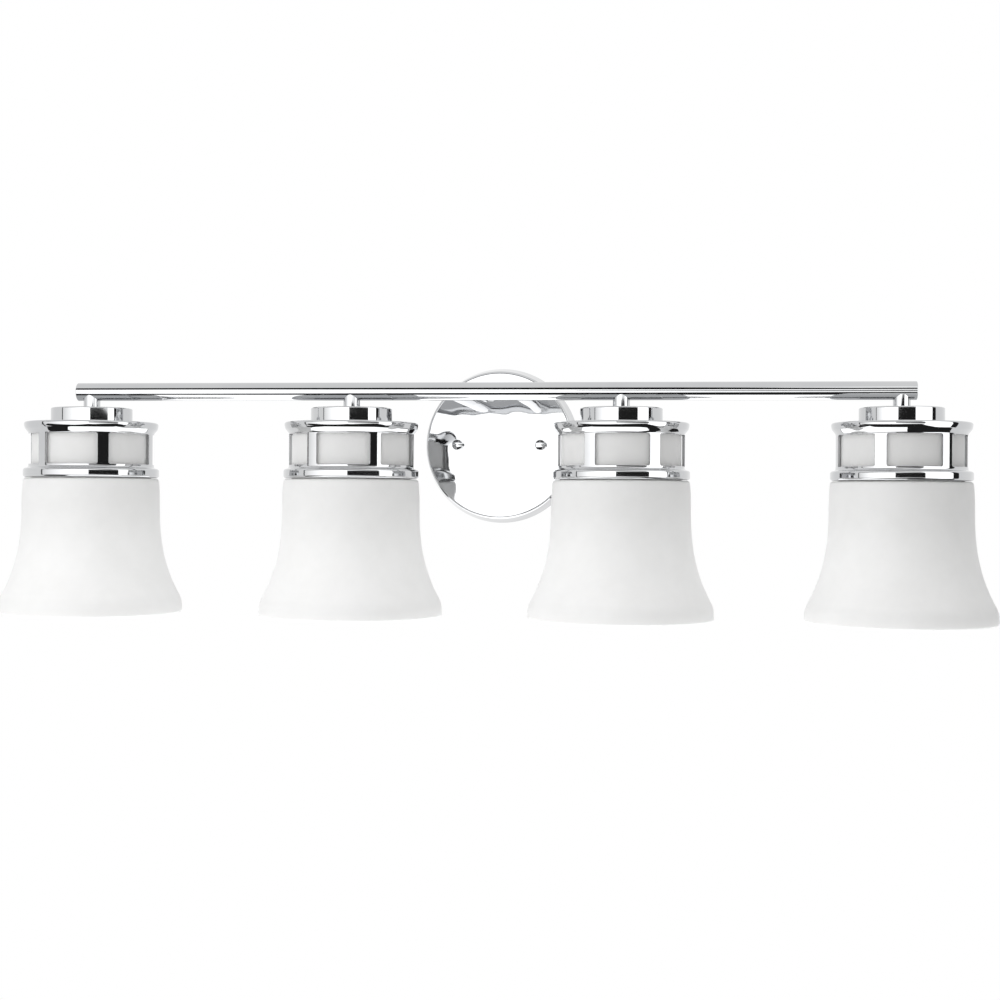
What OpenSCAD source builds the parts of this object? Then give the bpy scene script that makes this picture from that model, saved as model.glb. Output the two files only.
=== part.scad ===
// Vanity light bar: a round wall canopy carries a straight bar on two arms, and glass bell lamps hang
// from the bar. Millimetres, +Z up, the wall is the plane y = 0 and the room is towards -Y. The origin
// is the canopy's centre on the wall.

/* [Layout] */
// Number of lamps along the bar
lamp_count = 4; // [2:1:5]
// Distance between neighbouring lamps
lamp_spacing = 226; // [190:1:260]
// Distance from the wall to the bar's axis
bar_reach = 126.6; // [110:0.1:150]
// Height of the bar's axis above the canopy's centre
bar_rise = 41.2; // [36:0.1:46]

/* [Bar] */
// Outside diameter of the bar
bar_d = 15.2; // [14.4:0.1:18]
// Wall of the bar
bar_wall = 1.2; // [0.8:0.1:1.6]
// Length of bar beyond the outer lamps' axes
bar_overhang = 11.9; // [10:0.1:40]
// Thickness of an end plug's head
plug_head = 1.5; // [1:0.1:3]
// Radius of an end plug's edge
plug_edge_r = 0.8; // [0.4:0.1:1]
// Depth of an end plug inside the bar
plug_depth = 4; // [2:0.5:4.5]
// Diameter of the wire holes in the bar
wire_hole_d = 8; // [7:0.1:8.4]

/* [Arms and stems] */
// Distance between the two arms
arm_spacing = 55; // [50:1:64]
// Wall of an arm round its nipple
arm_wall = 2; // [1.2:0.1:2.4]
// Wall of a lamp's stem round its nipple
stem_wall = 2; // [1.2:0.1:2.4]
// Drop from the bar's axis to the top of a collar
stem_drop = 14.1; // [13:0.1:30]
// Outside diameter of the threaded nipples
nipple_d = 9.8; // [9.4:0.1:10.2]
// Wall of the threaded nipples
nipple_wall = 1.4; // [1:0.1:1.5]
// Length of an arm nipple inside its arm
nipple_grip = 12; // [8:1:20]
// Wall of an arm's lock nut and washer round the nipple
arm_nut_wall = 1.5; // [1.2:0.1:2]
// Thickness of an arm's lock nut
arm_nut_h = 4; // [3:0.5:5]
// Thickness of an arm's lock washer
arm_washer_t = 0.8; // [0.5:0.1:1.2]
// Length of an arm nipple past its lock nut
nipple_tail = 1.5; // [0.5:0.5:3]

/* [Canopy] */
// Diameter of the canopy's rim on the wall
canopy_d = 139.6; // [136:0.1:160]
// How far the canopy's side draws in from its rim to its face
canopy_taper = 3.7; // [2.5:0.1:5]
// Depth of the canopy from the wall to its face
canopy_depth = 22.3; // [20:0.1:30]
// Thickness of the canopy's sheet
canopy_t = 1; // [0.8:0.1:1.6]
// Radius of the edge round the canopy's face
canopy_edge_r = 1.6; // [1:0.1:3]

/* [Wall strap] */
// Length of strap beyond a box screw's slot
strap_end = 6.05; // [5:0.05:10]
// Width of the strap
strap_w = 16; // [14:1:18]
// Thickness of the strap
strap_t = 2; // [1.5:0.1:2.5]
// Distance between the slots for the box screws
box_spacing = 88.9; // [88.9:0.1:90]
// Length of a box screw's slot from end to end
slot_l = 7; // [6:0.1:7.4]
// Width of a box screw's slot
slot_w = 4.8; // [4.4:0.1:5.2]
// Distance from a stud out to its box screw
stud_inset = 7.15; // [6.95:0.05:9]
// Diameter of a stud
stud_d = 4.2; // [3.8:0.1:4.4]
// Wall of a stud's lock nut round the stud
stud_nut_wall = 2.15; // [1.8:0.05:2.3]
// Thickness of a stud's lock nut
stud_nut_h = 3.2; // [2.5:0.1:4]
// Wall of a cap nut round its stud
cap_nut_wall = 2.45; // [1.8:0.05:3.5]
// Length of a cap nut
cap_nut_h = 8; // [7:0.1:10]
// Thickness of a cap nut's closed end
cap_nut_roof = 1.5; // [1:0.1:2]
// Radius of a cap nut's front edge
cap_nut_edge_r = 1.2; // [0.6:0.1:2]
// Distance from a stud in to the ground screw
ground_inset = 15.3; // [13:0.1:17]
// Diameter of the ground screw's shank
ground_d = 4.8; // [4:0.1:5]
// Diameter of the ground screw's head
ground_head_d = 9; // [8:0.1:9.5]
// Thickness of the ground screw's head
ground_head_h = 2.5; // [2:0.1:3]
// Width of the slot in the ground screw's head
ground_slot_w = 1.2; // [0.8:0.1:1.6]
// Depth of the slot in the ground screw's head
ground_slot_h = 1; // [0.6:0.1:1.4]

/* [Collar] */
// Diameter of a collar
collar_d = 68; // [60:0.1:90]
// Height of a collar
collar_h = 12.2; // [8:0.1:16]
// Thickness of a collar's sheet
collar_t = 1.6; // [1.2:0.1:2]
// Radius of a collar's edges
collar_edge_r = 1.1; // [0.6:0.1:1.1]

/* [Cage] */
// Diameter of the wall that holds the windows
cage_d = 104.5; // [96:0.1:118]
// Thickness of that wall
cage_wall = 2.25; // [1.8:0.05:2.6]
// How far the flared lip stands out from the wall
lip_out = 3.65; // [2.5:0.05:8]
// Height of the lip's upright edge
lip_h = 4.4; // [3:0.1:5]
// Radius of the lip's top edge
lip_edge_r = 1.2; // [0.6:0.1:1.4]
// Height of the cove under the lip
cove_h = 5.3; // [4:0.1:6]
// How far the cove's foot stands proud of the wall
cove_foot = 0.4; // [0.2:0.1:1]
// Thickness of the top plate
plate_t = 2; // [1.5:0.1:3]
// Height of wall above the windows
rail_h = 0.5; // [0.3:0.1:3]
// Number of windows
window_count = 6; // [4:1:8]
// Height of a window
window_h = 25.5; // [15:0.1:32]
// Width of a post between two windows
post_w = 9.75; // [7:0.05:12]
// Radius of a window's corners
window_corner = 1.5; // [0.5:0.1:3]
// Turn of each cage about its own axis, from the left (they screw on, so each stops where it is tight)
cage_turns = [0.7, 3.6, 3.6, 5.2]; // [0:0.1:30]
// Height of wall below the windows
sill_h = 1.6; // [1:0.1:3]
// Height of the bead above the band
bead_h = 1.7; // [1:0.1:3]
// How far the bead stands out from the wall
bead_out = 1.35; // [0.5:0.05:3]
// Height of the lower band
band_h = 8; // [5:0.1:12]
// How far the lower band stands out from the wall
band_out = 4.35; // [3:0.05:8]
// Radius of the band's edges
band_edge_r = 1; // [0.4:0.1:1.2]

/* [Glass shade] */
// How far the bell stands out past the band
bell_out = 0.8; // [0:0.1:4]
// How far the mouth flares out from the bell
mouth_out = 19.2; // [12:0.1:26]
// Height of the bell from its shoulder to its rim
bell_h = 114.2; // [100:0.1:130]
// Height of straight bell under the shoulder
flare_start = 21.2; // [10:0.1:40]
// How late the bell flares out
flare_power = 2.55; // [1.8:0.05:3.2]
// Height over which the flare turns upright again
lip_turn_h = 9.6; // [6:0.1:14]
// Height of the upright lip
glass_lip_h = 5.4; // [3:0.1:10]
// Thickness of the glass
glass_t = 3.5; // [2.5:0.1:4]
// Thickness of the glass at its flat top
glass_top_t = 4; // [3:0.1:5]
// Gap between the glass neck and the cage
neck_gap = 0.7; // [0.4:0.1:2]
// Gap between the band and the bell's shoulder
shoulder_gap = 0.5; // [0.3:0.1:2]
// Radius of the shoulder's edge
shoulder_r = 1.5; // [0.6:0.1:2.5]

/* [Lampholder] */
// Thickness of the lampholder's wall round its socket
holder_wall = 4.85; // [3.5:0.05:6]
// Length of lampholder below the foot of the bulb's base
holder_lip = 4.8; // [2:0.1:6]
// Thickness of the lampholder's threaded top
holder_top_t = 4; // [3:0.1:5]
// Gap between the white lead and the side of the wiring chamber
chamber_gap = 0.8; // [0.4:0.1:1.5]
// Height of the wiring chamber
chamber_h = 4; // [3:0.1:5]
// Thickness of the floor under the chamber
floor_t = 2.7; // [2:0.1:3.5]
// Thickness of the brass shell
shell_t = 0.7; // [0.4:0.1:0.9]
// Gap between the brass shell and the bulb's base
shell_gap = 0.3; // [0.2:0.05:0.5]
// Length of the bulb's base below the brass shell
shell_short = 1; // [0.5:0.1:3]
// Diameter of the centre contact
contact_d = 8; // [6.6:0.1:8.8]
// Height of the centre contact
contact_h = 2.3; // [1.5:0.1:3]
// Thickness of the centre contact's disc
contact_disc_t = 0.8; // [0.5:0.1:1.2]
// Gap between the lampholder and the hole in the glass
shade_hole_gap = 2; // [1:0.1:3]
// How far the shade ring's flange laps under the glass
ring_lap = 5.95; // [4:0.05:9]
// Thickness of the shade ring's flange
ring_flange_t = 2; // [1.5:0.1:3]
// Wall of the shade ring's grip
ring_wall = 3.25; // [2.5:0.05:5]
// Height of the shade ring
ring_h = 7; // [5:0.1:8]
// Number of grip notches round the shade ring
ring_notches = 12; // [6:1:20]
// Radius of a grip notch
ring_notch_r = 1.6; // [1:0.1:2]

/* [Bulb] */
// Diameter of the bulb's screw base
base_d = 26.2; // [25.6:0.1:40]
// Length of the bulb's base
base_l = 25.5; // [24:0.1:36]
// Diameter of the base's tip
base_tip_d = 7; // [5:0.1:9]
// Height of the taper above the base's thread
base_taper_h = 6; // [5:0.1:8]
// Diameter of the bulb
bulb_d = 60; // [50:0.1:66]
// Overall length of the bulb with its base
bulb_l = 110; // [96:0.1:120]
// How far the bulb's neck stands out past its base
bulb_neck_out = 0.2; // [0:0.05:0.5]
// Thickness of the bulb's glass
bulb_wall = 1; // [0.8:0.1:1.6]

/* [Wiring] */
// Outside diameter of a lead
wire_d = 2; // [1.6:0.1:2.1]
// Outside diameter of the ground wire
ground_wire_d = 1.8; // [1.4:0.1:2]
// Diameter of a wire connector's mouth
connector_d = 14; // [12:0.5:15]
// Diameter of a wire connector's closed end
connector_tip_d = 9; // [6:0.5:12]
// Length of a wire connector
connector_l = 20; // [16:0.5:22]
// Sideways place of the wire connectors
connector_x = 12; // [9:0.5:16]
// Distance from an arm's axis down to the connectors
connector_drop = 11; // [9:0.5:14]
// Thickness of the ring terminal under the ground screw
terminal_t = 0.8; // [0.5:0.1:1.2]
// How far the ring terminal reaches past the screw's head
terminal_rim = 1.5; // [1:0.1:2]

/* [Clearances] */
// Radial clearance of a thread or a pushed fit
fit = 0.1; // [0.05:0.05:0.15]
// Radial clearance of a piece that unscrews
run = 0.2; // [0.15:0.05:0.3]

/* [Hidden] */
$fn = 96;
over = 1; // how far a cut runs past the face that it opens
cove_power = 1.6; // how soon the cove draws in below the lip
cove_steps = 6;
bell_steps = 24;
bulb_steps = 10;
bulb_ease = 0.9; // how early the bulb's neck swells
nipple_end_gap = 0.9; // room between a lamp nipple and the bar above it
nipple_foot = 0.3; // room between a lamp nipple and the lampholder's chamber
stud_end_gap = 0.4; // room between a stud and its cap nut's closed end
lead_side_gap = 0.4; // room between a lead and a nipple's bore where they run side by side
lead_up_gap = 0.15; // room between a lead and a nipple's bore where they run one above the other
white_run_gap = 1.8; // distance from an arm nipple's tail to the white lead's way down
black_run_gap = 4.6; // distance from an arm nipple's tail to the black lead's way down
contact_ledge = 1.2; // room between the centre contact and the brass shell's floor
tongue_part = 0.6; // the centre contact's tongue as a part of its disc's width
ground_rise = 6; // how far the ground wire runs up past the strap before it turns
ground_end = 9; // length of the ground wire's last straight run

bar_r = bar_d / 2;
bar_in_r = bar_r - bar_wall;
nipple_r = nipple_d / 2;
nipple_in_r = nipple_r - nipple_wall;
thread_r = nipple_r + fit;
stem_r = thread_r + stem_wall;
arm_r = thread_r + arm_wall;
arm_nut_r = thread_r + arm_nut_wall;
stud_thread_r = stud_d / 2 + fit;
stud_hole_r = stud_d / 2 + run;
stud_nut_r = stud_thread_r + stud_nut_wall;
cap_nut_r = stud_hole_r + cap_nut_wall;
wire_r = wire_d / 2;
ground_wire_r = ground_wire_d / 2;

strap_l = box_spacing + slot_l + 2 * strap_end;
stud_spacing = box_spacing - 2 * stud_inset;
stud_hole_depth = cap_nut_h - cap_nut_roof;
canopy_r = canopy_d / 2;
canopy_face_r = canopy_r - canopy_taper;

lamp_xs = [for (i = [0 : lamp_count - 1]) (i - (lamp_count - 1) / 2) * lamp_spacing];
end_xs = [lamp_xs[0], lamp_xs[lamp_count - 1]];
bar_half = end_xs[1] + bar_overhang;
arm_xs = [-arm_spacing / 2, arm_spacing / 2];
stud_xs = [-stud_spacing / 2, stud_spacing / 2];
ground_x = stud_xs[1] - ground_inset;
face_y = -canopy_depth;
inner_y = face_y + canopy_t;
nipple_tail_y = inner_y + arm_washer_t + arm_nut_h + nipple_tail;

// Radii in a lamp's own frame, whose origin is on the bar's axis
cage_r = cage_d / 2;
cage_in_r = cage_r - cage_wall;
lip_r = cage_r + lip_out;
bead_r = cage_r + bead_out;
band_r = cage_r + band_out;
neck_r = cage_in_r - neck_gap;
bell_r = band_r + bell_out;
mouth_r = bell_r + mouth_out;
base_r = base_d / 2;
shell_in_r = base_r + shell_gap;
shell_r = shell_in_r + shell_t;
socket_r = shell_r + fit;
holder_r = socket_r + holder_wall;
shade_hole_r = holder_r + shade_hole_gap;
ring_in_r = holder_r + run;
ring_grip_r = ring_in_r + ring_wall;
ring_flange_r = shade_hole_r + ring_lap;
bulb_neck_r = base_r + bulb_neck_out;
ball_r = bulb_d / 2;

// Where the leads run: side by side in the bar, one above the other in the arms
lead_y = nipple_in_r - wire_r - lead_side_gap;
lead_z = nipple_in_r - wire_r - lead_up_gap;
white_drop_y = (contact_d / 2 + shell_in_r) / 2;
chamber_r = white_drop_y + wire_r + chamber_gap;
white_run_y = nipple_tail_y + white_run_gap;
black_run_y = nipple_tail_y + black_run_gap;
connector_top_z = bar_rise - connector_drop;

// Heights in a lamp's own frame
collar_top_z = -stem_drop;
plate_top_z = collar_top_z - collar_h;
plate_low_z = plate_top_z - plate_t;
cove_top_z = plate_top_z - lip_h;
cove_low_z = cove_top_z - cove_h;
window_top_z = cove_low_z - rail_h;
window_low_z = window_top_z - window_h;
bead_top_z = window_low_z - sill_h;
band_top_z = bead_top_z - bead_h;
band_low_z = band_top_z - band_h;
shoulder_z = band_low_z - shoulder_gap;
rim_z = shoulder_z - bell_h;
glass_top_z = plate_low_z - fit;
glass_under_z = glass_top_z - glass_top_t;
ring_top_z = glass_under_z - fit;
chamber_top_z = plate_low_z - holder_top_t;
chamber_low_z = chamber_top_z - chamber_h;
socket_top_z = chamber_low_z - floor_t;
bulb_tip_z = socket_top_z - contact_h - run;
base_low_z = bulb_tip_z - base_l;
shell_low_z = base_low_z + shell_short;
holder_low_z = base_low_z - holder_lip;
ball_low_z = bulb_tip_z - bulb_l;
ball_z = ball_low_z + ball_r;

// The bell's flare: its length, the part that follows the power curve, and the slope at that part's end
flare_end = bell_h - glass_lip_h - lip_turn_h;
flare_len = flare_end - flare_start;
flare_out = mouth_out / (1 + flare_power * lip_turn_h / (2 * flare_len));
flare_slope = flare_power * flare_out / flare_len;

LAMP_NODES = ["stem", "collar", "cage", "lampholder", "screw_shell", "centre_contact", "glass_shade",
              "shade_ring", "bulb_base", "bulb"];
FRAME_NODES = ["mounting_strap", "box_studs", "stud_lock_nuts", "ground_screw", "canopy",
               "cap_nut_left", "cap_nut_right", "arm_left", "arm_right", "arm_nipples", "arm_washers",
               "arm_lock_nuts", "bar", "end_plugs", "lamp_nipples", "wire_black", "wire_white",
               "wire_ground", "wire_connectors"];

// Points of an arc about (x, y), from angle a0 to angle a1
function arc(x, y, r, a0, a1, steps = 6) =
    [for (i = [0 : steps]) let (a = a0 + (a1 - a0) * i / steps) [x + r * cos(a), y + r * sin(a)]];

// Puts a piece drawn in a lamp's frame at lamp i, counted from 1
module at_lamp(i) {
    translate([lamp_xs[i - 1], -bar_reach, bar_rise])
        children();
}

// A tube along +Z from z = 0
module tube(r_out, r_in, h) {
    difference() {
        cylinder(r = r_out, h = h);
        translate([0, 0, -over])
            cylinder(r = r_in, h = h + 2 * over);
    }
}

// Turns what is drawn along +Z to run along -Y, out of the wall
module out_of_wall() {
    rotate([90, 0, 0])
        children();
}

// A hexagon nut along +Z with flats facing +Y and -Y, at flat_r from its axis
module hex_nut(flat_r, h, bore_r) {
    difference() {
        cylinder(r = flat_r / cos(30), h = h, $fn = 6);
        translate([0, 0, -over])
            cylinder(r = bore_r, h = h + 2 * over);
    }
}

// A round rod from a to b
module rod(a, b, r) {
    v = b - a;
    translate(a)
        rotate([0, acos(v[2] / norm(v)), atan2(v[1], v[0])])
            cylinder(r = r, h = norm(v), $fn = 24);
}

// A wire along a list of points, round at each bend
module wire(points, r) {
    for (i = [1 : len(points) - 1])
        rod(points[i - 1], points[i], r);
    if (len(points) > 2)
        for (i = [1 : len(points) - 2])
            translate(points[i])
                sphere(r = r, $fn = 24);
}

// ---- wall side ----

module mounting_strap() {
    color("gainsboro")
        out_of_wall()
            difference() {
                linear_extrude(strap_t)
                    union() {
                        square([strap_l - strap_w, strap_w], center = true);
                        for (s = [-1, 1])
                            translate([s * (strap_l - strap_w) / 2, 0])
                                circle(d = strap_w);
                    }
                for (s = [-1, 1])
                    translate([s * box_spacing / 2, 0, -over])
                        linear_extrude(strap_t + 2 * over)
                            union() {
                                square([slot_l - slot_w, slot_w], center = true);
                                for (e = [-1, 1])
                                    translate([e * (slot_l - slot_w) / 2, 0])
                                        circle(d = slot_w);
                            }
                for (x = stud_xs)
                    translate([x, 0, -over])
                        cylinder(r = stud_thread_r, h = strap_t + 2 * over);
                translate([ground_x, 0, -over])
                    cylinder(r = ground_d / 2 + fit, h = strap_t + 2 * over);
            }
}

module box_studs() {
    color("silver")
        for (x = stud_xs)
            translate([x, 0, 0])
                out_of_wall()
                    cylinder(d = stud_d, h = canopy_depth + fit + stud_hole_depth - stud_end_gap);
}

module stud_lock_nuts() {
    color("silver")
        for (x = stud_xs)
            translate([x, -strap_t, 0])
                out_of_wall()
                    hex_nut(stud_nut_r, stud_nut_h, stud_thread_r);
}

module ground_screw() {
    color("seagreen")
        translate([ground_x, 0, 0])
            out_of_wall()
                difference() {
                    union() {
                        cylinder(d = ground_d, h = strap_t + terminal_t);
                        translate([0, 0, strap_t + terminal_t])
                            cylinder(d = ground_head_d, h = ground_head_h);
                    }
                    translate([-ground_head_d / 2 - over,
                               -ground_slot_w / 2,
                               strap_t + terminal_t + ground_head_h - ground_slot_h])
                        cube([ground_head_d + 2 * over, ground_slot_w, ground_slot_h + over]);
                }
}

// Outline of the canopy's sheet from the centre of its face to its rim, on one side of the sheet
function canopy_side(t) =
    let (lean = atan(canopy_taper / canopy_depth), r = max(canopy_edge_r - t, 0.3))
    concat(
        [[0, canopy_depth - t]],
        arc(canopy_face_r - canopy_edge_r, canopy_depth - canopy_edge_r, r, 90, lean),
        [[canopy_r - t / cos(lean), 0]]);

module canopy() {
    outside = canopy_side(0);
    inside = canopy_side(canopy_t);
    color("whitesmoke")
        out_of_wall()
            difference() {
                rotate_extrude()
                    polygon(concat(outside, [for (i = [len(inside) - 1 : -1 : 0]) inside[i]]));
                for (x = arm_xs)
                    translate([x, bar_rise, canopy_depth - canopy_t - over])
                        cylinder(r = thread_r, h = canopy_t + 2 * over);
                for (x = stud_xs)
                    translate([x, 0, canopy_depth - canopy_t - over])
                        cylinder(r = stud_hole_r, h = canopy_t + 2 * over);
            }
}

module cap_nut(x) {
    e = cap_nut_edge_r;
    color("whitesmoke")
        translate([x, face_y - fit, 0])
            out_of_wall()
                difference() {
                    rotate_extrude()
                        polygon(concat(
                            [[0, 0], [cap_nut_r, 0]],
                            arc(cap_nut_r - e, cap_nut_h - e, e, 0, 90),
                            [[0, cap_nut_h]]));
                    translate([0, 0, -over])
                        cylinder(r = stud_hole_r, h = stud_hole_depth + over);
                }
}

// ---- bar and arms ----

module bar() {
    length = 2 * (bar_half - plug_head);
    color("whitesmoke")
        translate([0, -bar_reach, bar_rise])
            difference() {
                rotate([0, 90, 0])
                    translate([0, 0, -length / 2])
                        tube(bar_r, bar_in_r, length);
                for (x = lamp_xs)
                    translate([x, 0, -bar_d])
                        cylinder(d = wire_hole_d, h = bar_d);
                for (x = arm_xs)
                    translate([x, bar_d, 0])
                        out_of_wall()
                            cylinder(d = wire_hole_d, h = bar_d);
            }
}

module end_plug() {
    e = plug_edge_r;
    rotate_extrude()
        polygon(concat(
            [[0, -plug_depth], [bar_in_r - fit, -plug_depth], [bar_in_r - fit, 0], [bar_r, 0]],
            arc(bar_r - e, plug_head - e, e, 0, 90),
            [[0, plug_head]]));
}

module end_plugs() {
    color("whitesmoke")
        for (s = [-1, 1])
            translate([s * (bar_half - plug_head), -bar_reach, bar_rise])
                rotate([0, s * 90, 0])
                    end_plug();
}

// An arm runs from the canopy's face to the bar, and its front end is cut to the bar's round
module arm(x) {
    color("whitesmoke")
        difference() {
            translate([x, face_y, bar_rise])
                out_of_wall()
                    tube(arm_r, thread_r, bar_reach - canopy_depth);
            translate([x - 2 * arm_r, -bar_reach, bar_rise])
                rotate([0, 90, 0])
                    cylinder(r = bar_r, h = 4 * arm_r);
        }
}

module arm_nipples() {
    color("silver")
        for (x = arm_xs)
            translate([x, nipple_tail_y, bar_rise])
                out_of_wall()
                    tube(nipple_r, nipple_in_r, nipple_tail_y - face_y + nipple_grip);
}

module arm_washers() {
    color("silver")
        for (x = arm_xs)
            translate([x, inner_y + arm_washer_t, bar_rise])
                out_of_wall()
                    tube(arm_nut_r, thread_r, arm_washer_t);
}

module arm_lock_nuts() {
    color("silver")
        for (x = arm_xs)
            translate([x, inner_y + arm_washer_t + arm_nut_h, bar_rise])
                out_of_wall()
                    hex_nut(arm_nut_r, arm_nut_h, thread_r);
}

// ---- wiring ----

// A lead with its run in the bar, a branch through each arm, and its way down the canopy to a connector
module lead(side, x_end, run_y) {
    wire([for (x = end_xs) [x, side * lead_y - bar_reach, bar_rise]], wire_r);
    for (x = arm_xs)
        wire([[x, side * lead_y - bar_reach, bar_rise],
              [x, side * lead_y - bar_reach, bar_rise - side * lead_z],
              [x, run_y, bar_rise - side * lead_z],
              [x_end, run_y, bar_rise - side * lead_z],
              [x_end, run_y, connector_top_z - connector_l / 2]], wire_r);
}

module wire_black() {
    color("dimgray")
        union() {
            lead(-1, -connector_x, black_run_y);
            for (i = [1 : lamp_count])
                at_lamp(i)
                    wire([[0, -lead_y, 0], [0, -lead_y, socket_top_z + fit]], wire_r);
            for (x = end_xs)
                translate([x, -lead_y - bar_reach, bar_rise])
                    sphere(r = wire_r, $fn = 24);
        }
}

module wire_white() {
    chamber_z = (chamber_top_z + chamber_low_z) / 2;
    color("ivory")
        union() {
            lead(1, connector_x, white_run_y);
            for (i = [1 : lamp_count])
                at_lamp(i)
                    wire([[0, lead_y, 0],
                          [0, lead_y, chamber_z],
                          [0, white_drop_y, chamber_z],
                          [0, white_drop_y, socket_top_z + fit]], wire_r);
            for (x = end_xs)
                translate([x, lead_y - bar_reach, bar_rise])
                    sphere(r = wire_r, $fn = 24);
        }
}

module wire_ground() {
    wire_y = -strap_t - terminal_t - ground_wire_r / 2;
    nut_y = inner_y + arm_washer_t + arm_nut_h / 2;
    ring_r = ground_head_d / 2 + terminal_rim;
    start_z = ground_head_d / 2 + ground_wire_r + run;
    color("peru")
        union() {
            translate([ground_x, -strap_t, 0])
                out_of_wall()
                    tube(ring_r, ground_d / 2 + fit, terminal_t);
            wire([[ground_x, wire_y, start_z],
                  [ground_x, wire_y, strap_w / 2 + ground_rise],
                  [arm_xs[1], nut_y, bar_rise - arm_nut_r - ground_end],
                  [arm_xs[1], nut_y, bar_rise - arm_nut_r - fit]], ground_wire_r);
            translate([ground_x, wire_y, start_z])
                sphere(r = ground_wire_r, $fn = 24);
        }
}

module wire_connector() {
    difference() {
        translate([0, 0, -connector_l])
            cylinder(d1 = connector_tip_d, d2 = connector_d, h = connector_l);
        translate([0, 0, -connector_l / 2 - fit])
            cylinder(r = wire_r + fit, h = connector_l);
    }
}

module wire_connectors() {
    color("orange")
        union() {
            translate([-connector_x, black_run_y, connector_top_z])
                wire_connector();
            translate([connector_x, white_run_y, connector_top_z])
                wire_connector();
        }
}

// ---- lamp ----

// A stem stands on the collar, and its top is cut to the bar's round
module stem(i) {
    color("whitesmoke")
        at_lamp(i)
            difference() {
                translate([0, 0, collar_top_z])
                    tube(stem_r, thread_r, stem_drop);
                rotate([0, 90, 0])
                    translate([0, 0, -2 * stem_r])
                        cylinder(r = bar_r, h = 4 * stem_r);
            }
}

module lamp_nipples() {
    top_z = -bar_r - nipple_end_gap;
    low_z = chamber_top_z + nipple_foot;
    color("silver")
        for (i = [1 : lamp_count])
            at_lamp(i)
                translate([0, 0, low_z])
                    tube(nipple_r, nipple_in_r, top_z - low_z);
}

// A collar is a shallow cup, open below, with round edges at its top and foot
module collar(i) {
    r = collar_d / 2;
    e = collar_edge_r;
    color("whitesmoke")
        at_lamp(i)
            rotate_extrude()
                polygon(concat(
                    [[thread_r, collar_top_z]],
                    arc(r - e, collar_top_z - e, e, 90, 0),
                    arc(r - e, plate_top_z + e, e, 0, -90),
                    [[r - collar_t, plate_top_z],
                     [r - collar_t, collar_top_z - collar_t],
                     [thread_r, collar_top_z - collar_t]]));
}

// Radius of the cove under the lip, from its top (t = 0) to the window wall (t = 1)
function cove_r(t) = cage_r + cove_foot + (lip_out - cove_foot) * pow(1 - t, cove_power);

module cage_shell() {
    rotate_extrude()
        polygon(concat(
            [[thread_r, plate_top_z]],
            arc(lip_r - lip_edge_r, plate_top_z - lip_edge_r, lip_edge_r, 90, 0),
            [for (i = [0 : cove_steps]) let (t = i / cove_steps) [cove_r(t), cove_top_z - t * cove_h]],
            [[cage_r, cove_low_z],
             [cage_r, bead_top_z],
             [bead_r, bead_top_z],
             [bead_r, band_top_z]],
            arc(band_r - band_edge_r, band_top_z - band_edge_r, band_edge_r, 90, 0),
            arc(band_r - band_edge_r, band_low_z + band_edge_r, band_edge_r, 0, -90),
            [[cage_in_r, band_low_z],
             [cage_in_r, plate_low_z],
             [thread_r, plate_low_z]]));
}

// One window: a prism with round corners that cuts the wall from inside outwards
module window_cut() {
    half = cage_r * sin(180 / window_count - asin(post_w / 2 / cage_r));
    w = half - window_corner;
    low = window_low_z + window_corner;
    high = window_top_z - window_corner;
    rotate([90, 0, 0])
        translate([0, 0, cage_r / 2])
            linear_extrude(cage_r)
                polygon(concat(
                    arc(w, high, window_corner, 90, 0, 4),
                    arc(w, low, window_corner, 0, -90, 4),
                    arc(-w, low, window_corner, -90, -180, 4),
                    arc(-w, high, window_corner, 180, 90, 4)));
}

module cage(i) {
    color("whitesmoke")
        at_lamp(i)
            difference() {
                cage_shell();
                for (k = [0 : window_count - 1])
                    rotate(cage_turns[(i - 1) % len(cage_turns)] + k * 360 / window_count)
                        window_cut();
            }
}

module lampholder(i) {
    color("ghostwhite")
        at_lamp(i)
            difference() {
                translate([0, 0, holder_low_z])
                    cylinder(r = holder_r, h = plate_low_z - holder_low_z);
                translate([0, 0, chamber_top_z - over])
                    cylinder(r = thread_r, h = holder_top_t + 2 * over);
                translate([0, 0, chamber_low_z])
                    cylinder(r = chamber_r, h = chamber_h);
                for (y = [-lead_y, white_drop_y])
                    translate([0, y, socket_top_z - over])
                        cylinder(r = wire_r + run, h = floor_t + 2 * over);
                translate([0, 0, holder_low_z - over])
                    cylinder(r = socket_r, h = socket_top_z - holder_low_z + over);
            }
}

module screw_shell(i) {
    hole_r = contact_d / 2 + contact_ledge;
    color("gold")
        at_lamp(i)
            rotate_extrude()
                polygon([[hole_r, socket_top_z],
                         [shell_r, socket_top_z],
                         [shell_r, shell_low_z],
                         [shell_in_r, shell_low_z],
                         [shell_in_r, socket_top_z - shell_t],
                         [hole_r, socket_top_z - shell_t]]);
}

module centre_contact(i) {
    color("gold")
        at_lamp(i)
            union() {
                translate([0, 0, socket_top_z - contact_disc_t])
                    cylinder(d = contact_d, h = contact_disc_t);
                translate([0, 0, socket_top_z - contact_h])
                    cylinder(d = contact_d * tongue_part, h = contact_h);
            }
}

// The bell's outside radius at a depth below its shoulder. It flares as a power curve,
// then turns upright over lip_turn_h with its slope falling evenly to nothing.
function bell_radius(depth) =
    let (t = (depth - flare_end) / lip_turn_h)
    depth <= flare_start ? bell_r
    : t <= 0 ? bell_r + flare_out * pow((depth - flare_start) / flare_len, flare_power)
    : t <= 1 ? bell_r + flare_out + flare_slope * lip_turn_h * (t - t * t / 2)
    : mouth_r;

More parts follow.
